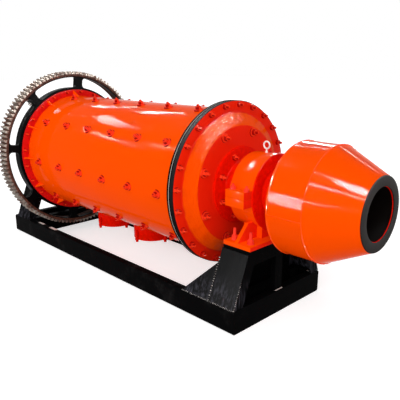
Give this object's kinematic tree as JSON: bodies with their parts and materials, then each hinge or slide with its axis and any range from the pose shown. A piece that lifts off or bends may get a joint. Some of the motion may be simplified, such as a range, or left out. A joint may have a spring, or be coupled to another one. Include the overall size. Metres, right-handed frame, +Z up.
{
  "type": "ball mill",
  "caption": "Horizontal grinding drum with a drum feeder and a toothed girth gear, turning in split bearings on a welded channel frame.",
  "frame": {"origin": "on the floor, in the middle of the machine's length and width", "axes": "+X along the mill axis towards the feeder, +Y across to the far rail, +Z up"},
  "size_m": [3.33, 1.3224, 1.4052],
  "materials": {
    "frame_black": "gloss black enamel on welded steel, with runs and bare weld beads",
    "shell_orange": "gloss orange-red enamel",
    "flange_black": "gloss black enamel",
    "gear_iron": "rusty cast rim with machined teeth, web painted black",
    "mouth_rubber": "matt black lining",
    "eye_white": "pale plated eye"
  },
  "bodies": {
    "frame": {"near_rail": "frame_black", "far_rail": "frame_black", "feed_end_beam": "frame_black", "feed_inner_beam": "frame_black", "feed_near_leg": "frame_black", "feed_far_leg": "frame_black", "feed_pedestal_post": "frame_black", "feed_pedestal_top": "frame_black", "feed_bearing_base": "shell_orange", "feed_bearing_cap": "shell_orange", "feed_bearing_covers": "shell_orange", "feed_lifting_eye": "eye_white", "discharge_end_beam": "frame_black", "discharge_inner_beam": "frame_black", "discharge_near_leg": "frame_black", "discharge_far_leg": "frame_black", "discharge_pedestal_post": "frame_black", "discharge_pedestal_top": "frame_black", "discharge_bearing_base": "shell_orange", "discharge_bearing_cap": "shell_orange", "discharge_bearing_covers": "shell_orange", "discharge_lifting_eye": "eye_white", "discharge_pedestal_headers": "frame_black", "feed_pedestal_headers": "frame_black"},
    "mill": {"shell": "shell_orange", "feed_flange": "flange_black", "gear_flange": "shell_orange", "shell_gussets": "shell_orange", "feed_head": "shell_orange", "discharge_head": "shell_orange", "feed_trunnion": "shell_orange", "discharge_trunnion": "shell_orange", "discharge_lip": "mouth_rubber", "gear_upper_half": "gear_iron", "gear_lower_half": "gear_iron", "feeder_back": "shell_orange", "feeder_drum": "shell_orange", "feeder_cone": "shell_orange", "feeder_mouth": "mouth_rubber", "port_1_neck": "shell_orange", "port_1_lid": "shell_orange", "port_2_neck": "shell_orange", "port_2_lid": "shell_orange"}
  },
  "joints": [
    {"name": "mill_spin", "type": "hinge", "parent": "frame", "child": "mill", "pos_m": [0, 0, 0.744], "axis": [1, 0, 0], "continuous": true}
  ]
}
